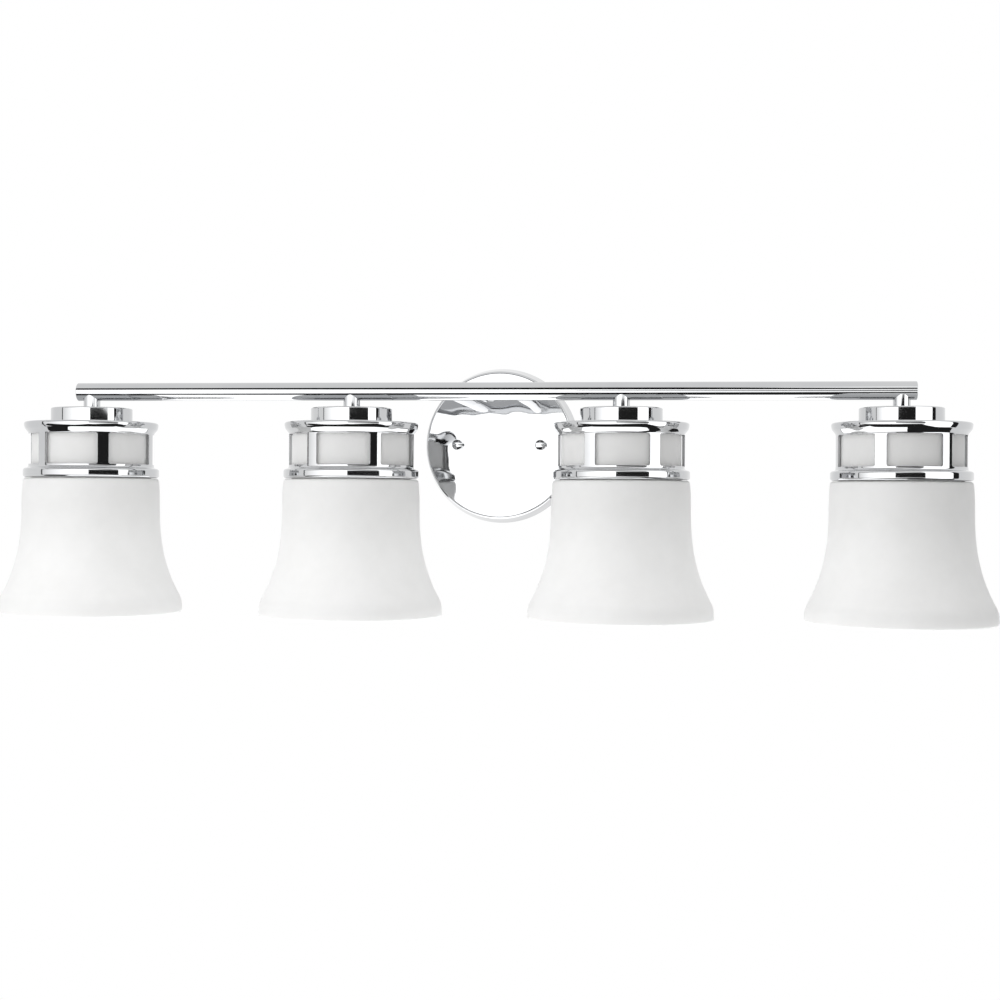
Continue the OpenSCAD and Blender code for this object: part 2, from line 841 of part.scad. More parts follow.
module glass_shade(i) {
    rim_r = glass_t / 2;
    depths = [for (k = [0 : bell_steps]) flare_start + (bell_h - glass_lip_h - flare_start) * k / bell_steps];
    outside = [for (d = depths) [bell_radius(d), shoulder_z - d]];
    inside = [for (k = [bell_steps : -1 : 0]) [outside[k][0] - glass_t, outside[k][1]]];
    color("white")
        at_lamp(i)
            rotate_extrude()
                polygon(concat(
                    [[shade_hole_r, glass_top_z]],
                    arc(neck_r - shoulder_r, glass_top_z - shoulder_r, shoulder_r, 90, 0),
                    [[neck_r, shoulder_z]],
                    arc(bell_r - shoulder_r, shoulder_z - shoulder_r, shoulder_r, 90, 0),
                    outside,
                    arc(mouth_r - rim_r, rim_z + rim_r, rim_r, 0, -180, 10),
                    inside,
                    [[bell_r - glass_t, shoulder_z - glass_t],
                     [neck_r - glass_t, shoulder_z - glass_t],
                     [neck_r - glass_t, glass_under_z],
                     [shade_hole_r, glass_under_z]]));
}

module shade_ring(i) {
    flange_z = ring_top_z - ring_flange_t;
    low_z = ring_top_z - ring_h;
    color("gray")
        at_lamp(i)
            difference() {
                rotate_extrude()
                    polygon([[ring_in_r, ring_top_z],
                             [ring_flange_r, ring_top_z],
                             [ring_flange_r, flange_z],
                             [ring_grip_r, flange_z],
                             [ring_grip_r, low_z],
                             [ring_in_r, low_z]]);
                for (k = [0 : ring_notches - 1])
                    rotate(k * 360 / ring_notches)
                        translate([ring_grip_r + ring_notch_r / 2, 0, low_z - over])
                            cylinder(r = ring_notch_r, h = flange_z - low_z + over, $fn = 24);
            }
}

module bulb_base(i) {
    color("gold")
        at_lamp(i)
            rotate_extrude()
                polygon([[0, bulb_tip_z],
                         [base_tip_d / 2, bulb_tip_z],
                         [base_r, bulb_tip_z - base_taper_h],
                         [base_r, base_low_z],
                         [0, base_low_z]]);
}

// Radius of the bulb's neck, which swells in an S-curve from the base's foot to the ball's widest height
function neck_radius(z) =
    let (t = pow((base_low_z - z) / (base_low_z - ball_z), bulb_ease))
    bulb_neck_r + (ball_r - bulb_neck_r) * (1 - cos(180 * t)) / 2;

module bulb(i) {
    neck = [for (k = [0 : bulb_steps]) let (z = base_low_z + (ball_z - base_low_z) * k / bulb_steps)
        [neck_radius(z), z]];
    ball = [for (k = [1 : bulb_steps - 1]) let (a = 90 * k / bulb_steps)
        [ball_r * cos(a), ball_z - ball_r * sin(a)]];
    outside = concat(neck, ball);
    inside_low_z = ball_low_z + bulb_wall;
    inside = [for (k = [len(outside) - 1 : -1 : 0])
        [outside[k][0] - bulb_wall, max(outside[k][1], inside_low_z)]];
    color("snow")
        at_lamp(i)
            rotate_extrude()
                polygon(concat(outside, [[0, ball_low_z], [0, inside_low_z]], inside));
}

mounting_strap();
box_studs();
stud_lock_nuts();
ground_screw();
canopy();
cap_nut(stud_xs[0]);  // cap_nut_left
cap_nut(stud_xs[1]);  // cap_nut_right
arm(arm_xs[0]);  // arm_left
arm(arm_xs[1]);  // arm_right
arm_nipples();
arm_washers();
arm_lock_nuts();
bar();
end_plugs();
lamp_nipples();
wire_black();
wire_white();
wire_ground();
wire_connectors();
for (i = [1 : lamp_count]) {
    stem(i);
    collar(i);
    cage(i);
    lampholder(i);
    screw_shell(i);
    centre_contact(i);
    glass_shade(i);
    shade_ring(i);
    bulb_base(i);
    bulb(i);
}
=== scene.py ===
import math

import bpy
import numpy as np
from mathutils import Euler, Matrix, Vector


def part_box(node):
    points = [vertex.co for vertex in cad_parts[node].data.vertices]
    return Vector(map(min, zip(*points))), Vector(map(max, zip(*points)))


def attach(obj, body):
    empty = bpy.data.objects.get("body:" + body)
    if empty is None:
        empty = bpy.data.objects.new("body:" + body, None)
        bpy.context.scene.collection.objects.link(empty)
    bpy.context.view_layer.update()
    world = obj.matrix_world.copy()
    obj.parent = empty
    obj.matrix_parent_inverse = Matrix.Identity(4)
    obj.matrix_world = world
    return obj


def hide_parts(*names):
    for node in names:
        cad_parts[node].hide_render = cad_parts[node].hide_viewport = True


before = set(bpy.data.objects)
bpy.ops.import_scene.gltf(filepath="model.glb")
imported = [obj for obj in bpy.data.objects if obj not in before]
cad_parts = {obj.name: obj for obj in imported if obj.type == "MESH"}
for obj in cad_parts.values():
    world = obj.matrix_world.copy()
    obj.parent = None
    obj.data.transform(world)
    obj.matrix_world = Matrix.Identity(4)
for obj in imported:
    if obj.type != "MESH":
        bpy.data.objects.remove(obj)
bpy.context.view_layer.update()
lampNumbers = range(1, 1 + sum(name.startswith("cage_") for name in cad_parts))
print("frame loaded:", len(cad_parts), "nodes,", len(lampNumbers), "lamps")

mm = 0.001  # the shapes are worked out in millimetres and made in metres


# ---- places taken from the frame ----

def boxOf(node):
    low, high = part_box(node)
    return np.array(low) / mm, np.array(high) / mm


def middleOf(node):
    low, high = boxOf(node)
    return (low + high) / 2


barMiddle = middleOf("bar")
barRadius = (boxOf("bar")[1] - boxOf("bar")[0])[2] / 2
plugEnds = boxOf("end_plugs")[0][0], boxOf("end_plugs")[1][0]
lampCentres = {i: np.array([middleOf(f"glass_shade_{i}")[0], barMiddle[1], barMiddle[2]]) for i in lampNumbers}
canopyFaceY = boxOf("canopy")[0][1]


# ---- shape making ----

upright = np.eye(3)
alongBar = np.array([[0, 0, 1], [0, 1, 0], [-1, 0, 0]])
againstBar = np.array([[0, 0, -1], [0, 1, 0], [1, 0, 0]])
outOfWall = np.array([[1, 0, 0], [0, 0, -1], [0, 1, 0]])


def profile(corners, closed=True, step=12):
    # A path through corners (radius, height, fillet) with the solid on its left: points and outward normals.
    # Fillet 0 is a sharp corner and None a point of a smooth curve. On a fillet the point is the arc's
    # centre plus its radius times the normal, as the normal turns evenly from one side's to the next's.
    place = np.array([corner[:2] for corner in corners], float)
    ahead = np.roll(place, -1, 0) - place
    ahead /= np.maximum(np.linalg.norm(ahead, axis=1, keepdims=True), 1e-9)
    side = np.stack([ahead[:, 1], -ahead[:, 0]], 1)
    points, normals = [], []
    for k, (_, _, fillet) in enumerate(corners):
        before = side[k] if k == 0 and not closed else side[k - 1]
        after = before if k == len(corners) - 1 and not closed else side[k]
        turn = math.atan2(before[0] * after[1] - before[1] * after[0], before @ after)
        if fillet is None:
            points.append(place[k][None])
            normals.append((before + after)[None] / np.linalg.norm(before + after))
        elif fillet == 0 or abs(turn) < 1e-6:
            points.append(np.stack([place[k]] * 2))
            normals.append(np.stack([before, after]))
        else:
            bulge = math.copysign(fillet, turn)
            start = place[k] - ahead[k - 1] * fillet * math.tan(abs(turn) / 2)
            angle = np.linspace(0, turn, 1 + max(2, math.ceil(abs(math.degrees(turn)) / step)))[:, None]
            turned = np.cos(angle) * before + np.sin(angle) * np.array([-before[1], before[0]])
            points.append(start - bulge * before + bulge * turned)
            normals.append(turned)
    points, normals = np.concatenate(points), np.concatenate(normals)
    return (np.vstack([points, points[:1]]), np.vstack([normals, normals[:1]])) if closed else (points, normals)


def revolve(shape, segments=96, start=0):
    # turns a profile about Z: x = radius cos angle, y = radius sin angle, z = height
    angle = np.radians(start + np.linspace(0, 360, segments + 1))[:, None]
    return tuple(np.stack([np.cos(angle) * part[:, 0], np.sin(angle) * part[:, 0],
                           np.broadcast_to(part[:, 1], (segments + 1, len(part)))], -1) for part in shape)


def placed(grid, at, turn=upright):
    points, normals = grid
    return points @ turn.T + at, normals @ turn.T


def shifted(grid, change):
    # Moves a revolved grid's points straight away from Z by change(angle, radius, height). The normals lean by
    # that change's slopes, round the axis for each millimetre of arc and along it, both by small differences.
    points, normals = grid
    radius, height = np.hypot(points[..., 0], points[..., 1]), points[..., 2]
    angle = np.arctan2(points[..., 1], points[..., 0])
    size = np.maximum(radius, 1e-6)
    outward = points * [1, 1, 0] / size[..., None]
    around = np.stack([-outward[..., 1], outward[..., 0], 0 * radius], -1)
    step = 1e-3
    arcSlope = (change(angle + step, radius, height) - change(angle - step, radius, height)) / (2 * step * size)
    upSlope = (change(angle, radius, height + step) - change(angle, radius, height - step)) / (2 * step)
    facing = (normals * outward).sum(-1, keepdims=True)
    normals = normals - facing * (arcSlope[..., None] * around + upSlope[..., None] * [0, 0, 1])
    return (points + change(angle, radius, height)[..., None] * outward,
            normals / np.linalg.norm(normals, axis=-1, keepdims=True))


def screwThread(wallRadius, pitch, depth, low, high):
    # A right-hand thread: whatever is less than a millimetre inside the wall's radius dips by the depth times
    # half of one less the cosine of a turn that climbs one pitch each time round. It fades in over a pitch.
    def change(angle, radius, height):
        fade = np.clip((height - low) / pitch, 0, 1) * np.clip((high - height) / pitch, 0, 1)
        return -depth * fade * (radius > wallRadius - 1) * (1 - np.cos(2 * np.pi * height / pitch - angle)) / 2
    return change


def wall(radius, low, high, rowHeight):
    # the inner points of a straight wall from low to high, close enough together for a thread
    rows = np.linspace(low, high, 1 + math.ceil(abs(high - low) / rowHeight))
    return [(radius, z, None) for z in rows[1:-1]]


def makePiece(name, grids, material, nodes, body):
    # Joins grids of points and normals into one mesh. Points in the same cell of a tenth of a micron become one
    # vertex, quads that shrink to nothing are left out, and each face looks the way its normals point. The
    # cells are set a little off zero, so that round sizes don't lie on their borders.
    corners, cornerNormals = (np.concatenate([
        np.stack([part[:-1, :-1], part[1:, :-1], part[1:, 1:], part[:-1, 1:]], 2).reshape(-1, 4, 3)
        for part in parts]) for parts in zip(*grids))
    facing = np.cross(corners[:, 2] - corners[:, 0], corners[:, 3] - corners[:, 1])
    inside = (facing * cornerNormals.sum(1)).sum(1) < 0
    corners[inside], cornerNormals[inside] = corners[inside, ::-1], cornerNormals[inside, ::-1]
    _, first, index = np.unique(np.floor(corners.reshape(-1, 3) * 1e4 + 0.318).astype(np.int64), axis=0,
                                return_index=True, return_inverse=True)
    index = index.reshape(-1, 4)
    used = index != np.roll(index, -1, 1)
    solid = (used.sum(1) > 2) & (index[:, 0] != index[:, 2]) & (index[:, 1] != index[:, 3])
    index, used, cornerNormals = index[solid], used[solid], cornerNormals[solid]
    totals = used.sum(1)

    mesh = bpy.data.meshes.new(name)
    mesh.vertices.add(len(first))
    mesh.vertices.foreach_set("co", (corners.reshape(-1, 3)[first] * mm).ravel())
    mesh.loops.add(int(totals.sum()))
    mesh.loops.foreach_set("vertex_index", index[used].astype(np.int32))
    mesh.polygons.add(len(totals))
    mesh.polygons.foreach_set("loop_start", np.concatenate([[0], np.cumsum(totals)[:-1]]).astype(np.int32))
    mesh.update(calc_edges=True)
    mesh.normals_split_custom_set(cornerNormals[used])
    mesh.materials.append(material)
    piece = bpy.data.objects.new(name, mesh)
    bpy.context.scene.collection.objects.link(piece)
    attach(piece, body)
    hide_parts(*nodes)
    return piece


# ---- materials ----

def linear(hexColour):
    # sRGB to linear light: a channel is ((c + 0.055) / 1.055) to the power 2.4, or c / 12.92 when very dark
    channels = [int(hexColour[k:k + 2], 16) / 255 for k in (1, 3, 5)]
    return [c / 12.92 if c <= 0.04045 else ((c + 0.055) / 1.055) ** 2.4 for c in channels] + [1]


def addNode(tree, kind, inputs=None, **settings):
    # one node with its settings; an input is a value or another node's output
    node = tree.nodes.new(kind)
    for name, value in settings.items():
        setattr(node, name, value)
    for name, value in (inputs or {}).items():
        if isinstance(value, bpy.types.NodeSocket):
            tree.links.new(value, node.inputs[name])
        else:
            node.inputs[name].default_value = value
    return node


def newMaterial(name, shaderInputs, patch, grain=None):
    # A Principled surface whose tone and roughness drift between two values over patches of a given size
    # in millimetres, with finer grain as bump where grain gives its size, height and strength.
    material = bpy.data.materials.new(name)
    material.use_nodes = True
    tree = material.node_tree
    shader = tree.nodes["Principled BSDF"]
    for socket, value in shaderInputs.items():
        shader.inputs[socket].default_value = value
    place = addNode(tree, "ShaderNodeTexCoord").outputs["Object"]
    patches = addNode(tree, "ShaderNodeTexNoise", {"Vector": place, "Scale": 1 / (patch["size"] * mm), "Detail": 4,
                                                   "Roughness": 0.6}).outputs["Fac"]
    span = {"Value": patches, "From Min": 0.35, "From Max": 0.65}  # where nearly all of the noise lies
    tone = addNode(tree, "ShaderNodeMix", data_type="RGBA")
    spread = addNode(tree, "ShaderNodeMapRange", span)
    tree.links.new(spread.outputs["Result"], tone.inputs["Factor"])
    for socket, colour in zip([s for s in tone.inputs if s.type == "RGBA"], patch["colours"]):
        socket.default_value = linear(colour)
    rough = addNode(tree, "ShaderNodeMapRange", {**span, "To Min": patch["roughness"][0],
                                                 "To Max": patch["roughness"][1]})
    tree.links.new([s for s in tone.outputs if s.type == "RGBA"][0], shader.inputs["Base Color"])
    tree.links.new(rough.outputs["Result"], shader.inputs["Roughness"])
    if grain:
        fine = addNode(tree, "ShaderNodeTexNoise", {"Vector": place, "Scale": 1 / (grain["size"] * mm),
                                                  "Detail": grain.get("detail", 2)})
        bump = addNode(tree, "ShaderNodeBump", {"Height": fine.outputs["Fac"], "Strength": grain["strength"],
                                                "Distance": grain["height"] * mm})
        tree.links.new(bump.outputs["Normal"], shader.inputs["Normal"])
    return material


# a bright mirror, a little darker and cooler than silver, with the faint unevenness that buffing leaves
chrome = newMaterial("polishedChromePlate", {"Metallic": 1},
                     {"size": 55, "colours": ("#c5c6c8", "#cacbcc"), "roughness": (0.03, 0.055)},
                     {"size": 14, "height": 0.05, "strength": 0.012})
# the same plate over pressed sheet, whose face is never quite flat, so that what it mirrors runs in waves
pressedChrome = newMaterial("polishedChromeOnSheet", {"Metallic": 1},
                            {"size": 60, "colours": ("#c5c6c8", "#cacbcc"), "roughness": (0.03, 0.055)},
                            {"size": 16, "height": 1, "strength": 0.36, "detail": 0})
# white through its depth, its skin etched to a soft even sheen with no sharp reflection
etched = newMaterial("satinEtchedOpalGlass", {"IOR": 1.5, "Subsurface Weight": 0.8,
                                              "Subsurface Radius": (0.009, 0.009, 0.009), "Subsurface Scale": 1},
                     {"size": 30, "colours": ("#f3f3f2", "#f7f7f6"), "roughness": (0.48, 0.6)},
                     {"size": 0.7, "height": 0.05, "strength": 0.1})
# dull bluish plate over steel, mottled by its bath
zinc = newMaterial("zincPlatedSteel", {"Metallic": 1},
                   {"size": 5, "colours": ("#a9abad", "#c0c1bf"), "roughness": (0.28, 0.42)},
                   {"size": 0.4, "height": 0.03, "strength": 0.2})
# green dyed steel that marks the earth screw
greenSteel = newMaterial("greenDyedSteel", {"Metallic": 0.8},
                         {"size": 3, "colours": ("#2f6b45", "#3f7f55"), "roughness": (0.3, 0.4)})
# white clay under a clear glaze: glossy, slightly warm, with a soft orange-peel
porcelain = newMaterial("glazedPorcelain", {"IOR": 1.5, "Coat Weight": 0.4, "Coat Roughness": 0.05},
                        {"size": 12, "colours": ("#e9e6df", "#f1efe9"), "roughness": (0.16, 0.24)},
                        {"size": 3, "height": 0.05, "strength": 0.15})
# bare brass strip, bright with a few duller patches
brass = newMaterial("bareBrass", {"Metallic": 1},
                    {"size": 6, "colours": ("#c9a255", "#dcb869"), "roughness": (0.2, 0.34)})
# nickel plated brass of a bulb's screw cap
capMetal = newMaterial("nickelPlatedCap", {"Metallic": 1},
                       {"size": 7, "colours": ("#b9b7b0", "#cbc9c3"), "roughness": (0.2, 0.32)})
# black glass that insulates the cap's end, and the blob of solder on it
blackGlass = newMaterial("blackCapGlass", {"IOR": 1.5},
                         {"size": 3, "colours": ("#17181a", "#222326"), "roughness": (0.08, 0.2)})
solder = newMaterial("tinSolder", {"Metallic": 1},
                     {"size": 2, "colours": ("#a3a4a3", "#bcbdbb"), "roughness": (0.25, 0.45)},
                     {"size": 1.5, "height": 0.1, "strength": 0.3})
# bulb glass powdered white inside: milky and smooth outside
bulbGlass = newMaterial("powderedBulbGlass", {"IOR": 1.5, "Subsurface Weight": 0.15,
                                              "Subsurface Radius": (0.004, 0.004, 0.004), "Subsurface Scale": 1},
                        {"size": 20, "colours": ("#f4f4f1", "#f9f9f7"), "roughness": (0.12, 0.2)})
# extruded insulation, slightly waxy
blackLead = newMaterial("blackInsulation", {},
                        {"size": 4, "colours": ("#1d1d1e", "#28282a"), "roughness": (0.4, 0.5)})
whiteLead = newMaterial("whiteInsulation", {},
                        {"size": 4, "colours": ("#e4e3de", "#eeedea"), "roughness": (0.4, 0.5)})
# drawn copper going brown in patches
copper = newMaterial("bareCopper", {"Metallic": 1},
                     {"size": 5, "colours": ("#a9653f", "#c9825a"), "roughness": (0.28, 0.42)})
# moulded orange thermoplastic
orangePlastic = newMaterial("orangeThermoplastic", {"IOR": 1.48},
                            {"size": 5, "colours": ("#dd6a1e", "#e67a2c"), "roughness": (0.35, 0.45)},
                            {"size": 0.5, "height": 0.02, "strength": 0.2})
print("materials made")


# ---- bar, end plugs, stems and arms ----

tubes = {"barWall": 1.2, "plugHead": 1.5, "plugEdge": 0.5, "plugDepth": 4, "plugFit": 0.1, "plugLead": 0.4,
         "tubeRadius": 7, "tubeBore": 5, "collarTop": -14.1, "barSegments": 128, "tubeSegments": 96}


def copedTube(radius, bore, foot):
    # A tube along Z that stands on z = foot and ends at the bar, whose axis is X at z = 0. Its cut end is at
    # minus the root of (bar radius squared minus y squared), and there the normal points at the bar's axis.
    angle = np.linspace(0, 2 * np.pi, tubes["tubeSegments"] + 1)
    around = np.stack([np.cos(angle), np.sin(angle), np.zeros_like(angle)], 1)
    down, flat = np.array([0, 0, -1.0]), around * 0

    def ring(size, cut):
        height = -np.sqrt(barRadius ** 2 - (size * around[:, 1]) ** 2) if cut else np.full(len(angle), float(foot))
        return around * size + height[:, None] * -down

    outerTop, innerTop = ring(radius, True), ring(bore, True)
    rows = [(ring(radius, False), around), (outerTop, around), (outerTop, outerTop * [0, -1, -1] / barRadius),
            (innerTop, innerTop * [0, -1, -1] / barRadius), (innerTop, -around), (ring(bore, False), -around),
            (ring(bore, False), flat + down), (ring(radius, False), flat + down)]
    return tuple(np.stack(part, 1) for part in zip(*rows))


tubeHalf = (plugEnds[1] - plugEnds[0]) / 2 - tubes["plugHead"]
barBore = barRadius - tubes["barWall"]
barTube = revolve(profile([(barRadius, -tubeHalf, 0), (barRadius, tubeHalf, 0), (barBore, tubeHalf, 0),
                           (barBore, -tubeHalf, 0)]), tubes["barSegments"])
makePiece("barTube", [placed(barTube, barMiddle, alongBar)], chrome, ["bar"], "fixture")

plugRadius = barBore - tubes["plugFit"]
plugShape = profile([(0, -tubes["plugDepth"], 0), (plugRadius, -tubes["plugDepth"], tubes["plugLead"]),
                     (plugRadius, 0, 0), (barRadius, 0, 0), (barRadius, tubes["plugHead"], tubes["plugEdge"]),
                     (0, tubes["plugHead"], 0)], closed=False, step=8)
makePiece("endPlugPair", [placed(revolve(plugShape), barMiddle + [side * tubeHalf, 0, 0], turn)
                          for side, turn in ((1, alongBar), (-1, againstBar))],
          chrome, ["end_plugs"], "fixture")

for i in lampNumbers:
    makePiece(f"stemTube_{i}", [placed(copedTube(tubes["tubeRadius"], tubes["tubeBore"], tubes["collarTop"]),
                                       lampCentres[i])], chrome, [f"stem_{i}"], "fixture")
for side in ("left", "right"):
    makePiece(f"armTube_{side}", [placed(copedTube(tubes["tubeRadius"], tubes["tubeBore"],
                                                   barMiddle[1] - canopyFaceY),
                                         np.array([middleOf(f"arm_{side}")[0], barMiddle[1], barMiddle[2]]),
                                         outOfWall)], chrome, [f"arm_{side}"], "fixture")
print("bar, plugs, stems and arms made")


# ---- canopy and cap nuts ----

canopy = {"rimRadius": 69.8, "faceRadius": 65.84, "depth": 22.3, "sheet": 1, "edge": 2.4,
          "nutRadius": 4.75, "nutBore": 2.3, "nutHeight": 8, "nutRoof": 1.5, "nutFoot": 0.25, "nutEdge": 0.7,
          "nutDome": 0.9, "domeStart": 0.85, "segments": 192}
lean = (canopy["rimRadius"] - canopy["faceRadius"]) / canopy["depth"]
ceiling = canopy["depth"] - canopy["sheet"]
dishShape = profile([(0, ceiling, 0), (canopy["rimRadius"] - canopy["sheet"] - lean * ceiling, ceiling, 0.6),
                     (canopy["rimRadius"] - canopy["sheet"], 0, 0), (canopy["rimRadius"], 0, 0),
                     (canopy["faceRadius"], canopy["depth"], canopy["edge"]), (0, canopy["depth"], 0)],
                    closed=False, step=6)
canopyMiddle = middleOf("canopy") * [1, 0, 1]
makePiece("canopyDish", [placed(revolve(dishShape, canopy["segments"]), canopyMiddle, outOfWall)], pressedChrome,
          ["canopy"], "fixture")

# the nut's end is domed: it falls by the dome's height times the square of the radius over the nut's own
domeR = np.linspace(canopy["domeStart"], 0, 15) * canopy["nutRadius"]
domeZ = canopy["nutHeight"] - canopy["nutDome"] * (domeR / canopy["nutRadius"]) ** 2
nutShape = profile([(0, canopy["nutHeight"] - canopy["nutRoof"], 0),
                    (canopy["nutBore"], canopy["nutHeight"] - canopy["nutRoof"], 0), (canopy["nutBore"], 0, 0),
                    (canopy["nutRadius"], 0, canopy["nutFoot"]),
                    (canopy["nutRadius"], canopy["nutHeight"] - canopy["nutDome"], canopy["nutEdge"])]
                   + [(r, z, None) for r, z in zip(domeR, domeZ)], closed=False, step=6)
for side in ("left", "right"):
    foot = middleOf(f"cap_nut_{side}")
    foot[1] = boxOf(f"cap_nut_{side}")[1][1]
    makePiece(f"capNut_{side}", [placed(revolve(nutShape), foot, outOfWall)], chrome, [f"cap_nut_{side}"],
              f"cap_nut_{side}")
print("canopy and cap nuts made")


# ---- collars and cages; heights are measured from the bar's axis ----

cage = {"collarRadius": 34, "collarTop": -14.1, "collarSheet": 1.6, "collarEdge": 1.1, "bore": 5,
        "top": -26.3, "plateLow": -28.3, "lipRadius": 55.9, "lipEdge": 1.7, "wallRadius": 52.25, "innerRadius": 50.0,
        "coveHeights": (-28.3, -29.4, -31.8, -32.2, -34.4, -35.4, -36.0), "coveSlopes": (0, 3.8, 7.6, 16, 18, 12, 2),
        "windowTop": -36.5, "windowLow": -62.0, "windowCorner": 1.5, "windowEdge": 0.35, "windows": 6, "post": 9.75,
        "turns": (0.7, 3.6, 3.6, 5.2), "sillLow": -63.1, "bandRadius": 56.6, "bandTop": -65.3, "bandLow": -73.3,
        "bandEdge": 2.2, "bandGap": 0.05, "pointsAcross": 24, "pointsDown": 16}
coveLow = cage["coveHeights"][-1]


def windowSector(centre):
    # The piece of wall round one window, as rings of (sideways place, height, radius, normal) that run from
    # the sector's border to the window's outline, through the wall, and back to the border inside. The
    # window's sides are parallel, so a place w sideways lies at angle arcsine(w / radius) from its centre.
    half = 180 / cage["windows"]
    halfWidth = cage["wallRadius"] * math.sin(math.radians(half) - math.asin(cage["post"] / 2 / cage["wallRadius"]))
    middleZ = (cage["windowTop"] + cage["windowLow"]) / 2
    straightW = halfWidth - cage["windowCorner"]
    straightZ = (cage["windowTop"] - cage["windowLow"]) / 2 - cage["windowCorner"]
    across, down = cage["pointsAcross"], cage["pointsDown"]
    starts, angles = [], []
    for quarter, count in ((135, across), (45, down), (-45, across), (-135, down)):
        corner = np.sign(np.round([math.cos(math.radians(quarter)), math.sin(math.radians(quarter))], 3))
        following = np.array([corner[1], -corner[0]])
        size = np.array([straightW, straightZ])
        steps = count - 6  # the other points turn the half corners at the side's two ends
        share = np.concatenate([np.zeros(3), np.linspace(0, 1, steps + 1), np.ones(2)])[:, None]
        angles.append(np.radians(quarter - np.concatenate([[0, 15, 30], np.full(steps + 1, 45), [60, 75]])))
        starts.append(corner * size * (1 - share) + following * size * share)
    centres = np.vstack([*starts, starts[0][:1]])
    angles = np.concatenate([*angles, angles[0][:1]])
    facing = np.stack([np.cos(angles), np.sin(angles)], 1)
    wide, tall = np.linspace(-1, 1, across + 1), np.linspace(1, -1, down + 1)
    borderAngle = np.radians(half) * np.concatenate([wide[:-1], np.ones(down), -wide[:-1], -np.ones(down + 1)])
    borderLift = np.concatenate([np.ones(across), tall[:-1], -np.ones(across), -tall])
    borderZ = (coveLow + cage["sillLow"]) / 2 + borderLift * (coveLow - cage["sillLow"]) / 2

    direction = math.radians(centre)
    sideways = np.array([-math.sin(direction), math.cos(direction), 0])
    outward = np.array([math.cos(direction), math.sin(direction), 0])
    up = np.array([0, 0, 1.0])

    def ring(w, z, radius, lean, inwards):
        # lean 0 faces away from the wall and lean 90 into the window
        depth = np.sqrt(radius ** 2 - w ** 2)
        points = w[:, None] * sideways + depth[:, None] * outward + z[:, None] * up
        radial = points * [1, 1, 0] / radius * (-1 if inwards else 1)
        window = -(facing[:, :1] * sideways + facing[:, 1:] * up)
        return points, radial * math.cos(lean) + window * math.sin(lean)

    def outline(grow):
        return (centres + facing * (cage["windowCorner"] + grow) + [0, middleZ]).T

    edge, rings = cage["windowEdge"], []
    for inwards, radius in ((False, cage["wallRadius"]), (True, cage["innerRadius"])):
        w, z = outline(edge)
        between = radius * np.sin((borderAngle + np.arcsin(w / radius)) / 2)
        side = [ring(radius * np.sin(borderAngle), borderZ, radius, 0, inwards),
                ring(between, (borderZ + z) / 2, radius, 0, inwards)]
        for lean in np.radians([0, 22.5, 45, 67.5, 90]):
            w, z = outline(edge * (1 - math.sin(lean)))
            sunk = edge * (1 - math.cos(lean)) * (1 if inwards else -1)
            side.append(ring(w, z, radius + sunk, lean, inwards))
        rings += side[::-1] if inwards else side
    return tuple(np.stack(part, 1) for part in zip(*rings))


collarShape = profile([(cage["collarRadius"] - cage["collarSheet"], cage["top"], 0),
                       (cage["collarRadius"], cage["top"], cage["collarEdge"]),
                       (cage["collarRadius"], cage["collarTop"], cage["collarEdge"]),
                       (cage["bore"], cage["collarTop"], 0), (cage["bore"], cage["collarTop"] - cage["collarSheet"], 0),
                       (cage["collarRadius"] - cage["collarSheet"], cage["collarTop"] - cage["collarSheet"], 0.5)],
                      step=8)
# The lip's underside: its slope runs through the given values, and the radius is the lip's less the slopes
# added up over the height, scaled so that the whole fall ends on the wall.
coveZ = np.linspace(cage["coveHeights"][0], coveLow, 41)
slope = np.interp(-coveZ, -np.array(cage["coveHeights"]), cage["coveSlopes"])
fall = np.concatenate([[0], np.cumsum((slope[1:] + slope[:-1]) / 2)])
cove = cage["lipRadius"] - (cage["lipRadius"] - cage["wallRadius"]) * fall / fall[-1]
upperShape = profile([(r, z, None) for r, z in zip(cove[::-1], coveZ[::-1])]
                     + [(cage["lipRadius"], cage["top"], cage["lipEdge"]),
                        (cage["bore"], cage["top"], 0), (cage["bore"], cage["plateLow"], 0),
                        (cage["innerRadius"], cage["plateLow"], 0), (cage["innerRadius"], coveLow, 0)],
                     closed=False, step=8)
# under the sill the wall sweeps out in a hollow curve to the band's round upper edge
lowerShape = profile([(cage["innerRadius"], cage["sillLow"], 0), (cage["innerRadius"], cage["bandLow"], 0.3),
                      (cage["bandRadius"], cage["bandLow"], cage["bandEdge"]),
                      (cage["bandRadius"], cage["bandTop"], cage["bandEdge"]),
                      (cage["wallRadius"], cage["bandTop"], cage["sillLow"] - cage["bandTop"] - cage["bandGap"]),
                      (cage["wallRadius"], cage["sillLow"], 0)],
                     closed=False, step=8)
sectorWidth, castSegments = 360 / cage["windows"], cage["pointsAcross"] * cage["windows"]
for i in lampNumbers:
    firstWindow = cage["turns"][i - 1] - 90
    cageGrids = [revolve(shape, castSegments, firstWindow - sectorWidth / 2) for shape in (upperShape, lowerShape)]
    cageGrids += [windowSector(firstWindow + k * sectorWidth) for k in range(cage["windows"])]
    makePiece(f"collarCup_{i}", [placed(revolve(collarShape, castSegments), lampCentres[i])], chrome,
              [f"collar_{i}"], "fixture")
    makePiece(f"cageCasting_{i}", [placed(grid, lampCentres[i]) for grid in cageGrids], chrome, [f"cage_{i}"],
              "fixture")
print("collars and cages made")


# ---- glass shades ----

